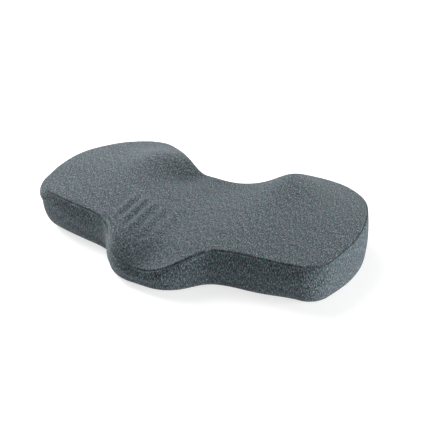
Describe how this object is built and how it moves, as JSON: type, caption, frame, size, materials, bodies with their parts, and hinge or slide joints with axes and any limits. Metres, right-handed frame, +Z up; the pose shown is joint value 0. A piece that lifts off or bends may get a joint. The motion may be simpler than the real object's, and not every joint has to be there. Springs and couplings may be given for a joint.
{
  "type": "seat cushion",
  "caption": "Contoured butterfly-shaped foam seat cushion in a heather grey zipped knit cover, with a tailbone notch and a nose between the thighs.",
  "frame": {"origin": "middle of the footprint, on the underside", "axes": "+Z up through the seat surface, -Y to the front nose, +X along the long side"},
  "size_m": [0.5002, 0.314, 0.085],
  "materials": {
    "cover_knit": "heathered polyester knit",
    "cover_thread": "spun polyester sewing thread",
    "liner_knit": "thin white polyester knit",
    "liner_thread": "white sewing thread",
    "foam": "moulded slow-recovery polyurethane foam",
    "zip_tape": "woven polyester tape",
    "zip_coil": "nylon monofilament coil",
    "zip_metal": "dark lacquered zinc die casting",
    "label_satin": "white woven satin"
  },
  "bodies": {
    "cushion": {"foam_core": "foam", "liner_upper": "liner_knit", "liner_lower": "liner_knit", "liner_seam_thread": "liner_thread", "cover_top_panel": "cover_knit", "cover_front_boxing": "cover_knit", "cover_rear_upper_boxing": "cover_knit", "cover_rear_lower_boxing": "cover_knit", "cover_bottom_panel": "cover_knit", "top_seam_thread": "cover_thread", "bottom_seam_thread": "cover_thread", "left_seam_thread": "cover_thread", "right_seam_thread": "cover_thread", "zipper_stitching": "cover_thread", "zipper_upper_tape": "zip_tape", "zipper_lower_tape": "zip_tape", "zipper_upper_coil": "zip_coil", "zipper_lower_coil": "zip_coil", "zipper_top_stops": "zip_metal", "zipper_bottom_stop": "zip_metal", "care_label": "label_satin"},
    "zip_slider": {"zipper_slider": "zip_metal"},
    "pull_tab": {"zipper_pull_tab": "zip_metal"}
  },
  "joints": [
    {"name": "zip_travel", "type": "hinge", "parent": "cushion", "child": "zip_slider", "pos_m": [0, 0.3002, 0.036], "axis": [0, 0, 1], "range_deg": [-60, 0]},
    {"name": "pull_swing", "type": "hinge", "parent": "zip_slider", "child": "pull_tab", "pos_m": [0.0985, 0.12959, 0.036], "axis": [0, 0, -1], "range_deg": [-3, 170]}
  ]
}
